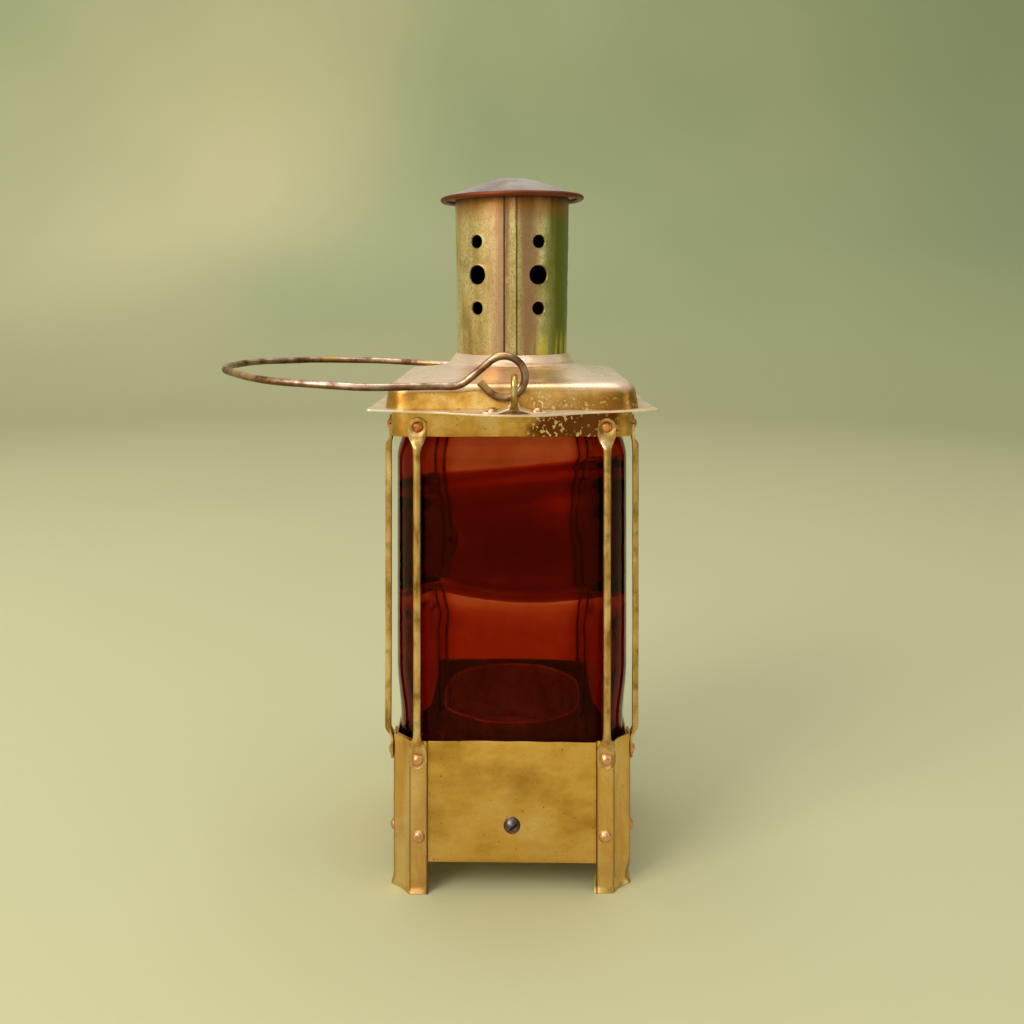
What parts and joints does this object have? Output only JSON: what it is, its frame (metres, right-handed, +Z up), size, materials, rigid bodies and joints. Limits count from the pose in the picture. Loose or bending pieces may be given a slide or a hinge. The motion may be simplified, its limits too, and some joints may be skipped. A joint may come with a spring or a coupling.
{
  "type": "candle lantern",
  "caption": "Square riveted brass candle lantern with an amber glass, a round vented chimney with a domed cap, and a wire carrying bail.",
  "frame": {"origin": "on the lantern's vertical axis, in the plane its feet stand on", "axes": "+Z up along the chimney, -Y out of the front plate with its screw, +X to the right seen from the front"},
  "size_m": [0.1741, 0.126, 0.2745],
  "materials": {
    "base_brass": "satin, mottled",
    "rod_brass": "worn, bright",
    "roof_brass": "polished, partly tarnished",
    "chimney_brass": "patinated",
    "cap_brass": "dull, brown at the rim",
    "bail_wire": "tarnished brown, worn bright",
    "inner_brass": "dull",
    "copper_rivet": "hammered, dull copper",
    "dark_steel": "dark, worn",
    "amber_glass": "clear, deep red-brown",
    "candle_wax": "smooth wax",
    "wick_cotton": "braided"
  },
  "bodies": {
    "lantern": {"amber_glass": "amber_glass", "base_shell": "base_brass", "brim_plate": "roof_brass", "candle": "candle_wax", "candle_cup": "inner_brass", "candle_tray": "inner_brass", "corner_post_back_left": "base_brass", "corner_post_back_right": "base_brass", "corner_post_front_left": "base_brass", "corner_post_front_right": "base_brass", "glass_ledge": "inner_brass", "guard_rivets_lower": "copper_rivet", "guard_rivets_upper": "copper_rivet", "guard_rod_back_left": "rod_brass", "guard_rod_back_right": "rod_brass", "guard_rod_front_left": "rod_brass", "guard_rod_front_right": "rod_brass", "guard_rod_left_back": "rod_brass", "guard_rod_left_front": "rod_brass", "guard_rod_right_back": "rod_brass", "guard_rod_right_front": "rod_brass", "link_strap_back": "roof_brass", "link_strap_front": "roof_brass", "post_rivets": "copper_rivet", "roof_hood": "roof_brass", "strap_rivets_back": "copper_rivet", "strap_rivets_front": "copper_rivet", "tray_nut_back": "dark_steel", "tray_nut_front": "dark_steel", "tray_screw_back": "dark_steel", "tray_screw_front": "dark_steel", "upper_band": "roof_brass", "wick": "wick_cotton"},
    "chimney": {"chimney_tube": "chimney_brass", "chimney_cap": "cap_brass", "cap_spigot": "chimney_brass"},
    "bail_links": {"bail_link_front": "bail_wire", "bail_link_back": "bail_wire"},
    "bail": {"bail": "bail_wire"}
  },
  "joints": [
    {"name": "chimney_lift", "type": "slide", "parent": "lantern", "child": "chimney", "axis": [0, 0, 1], "range_m": [0, 0.025]},
    {"name": "link_swing", "type": "hinge", "parent": "lantern", "child": "bail_links", "pos_m": [0.0008, 0, 0.184], "axis": [0, 1, 0], "range_deg": [0, 20]},
    {"name": "bail_swing", "type": "hinge", "parent": "bail_links", "child": "bail", "pos_m": [-0.0029, 0, 0.1952], "axis": [0, 1, 0], "range_deg": [0, 180]}
  ]
}
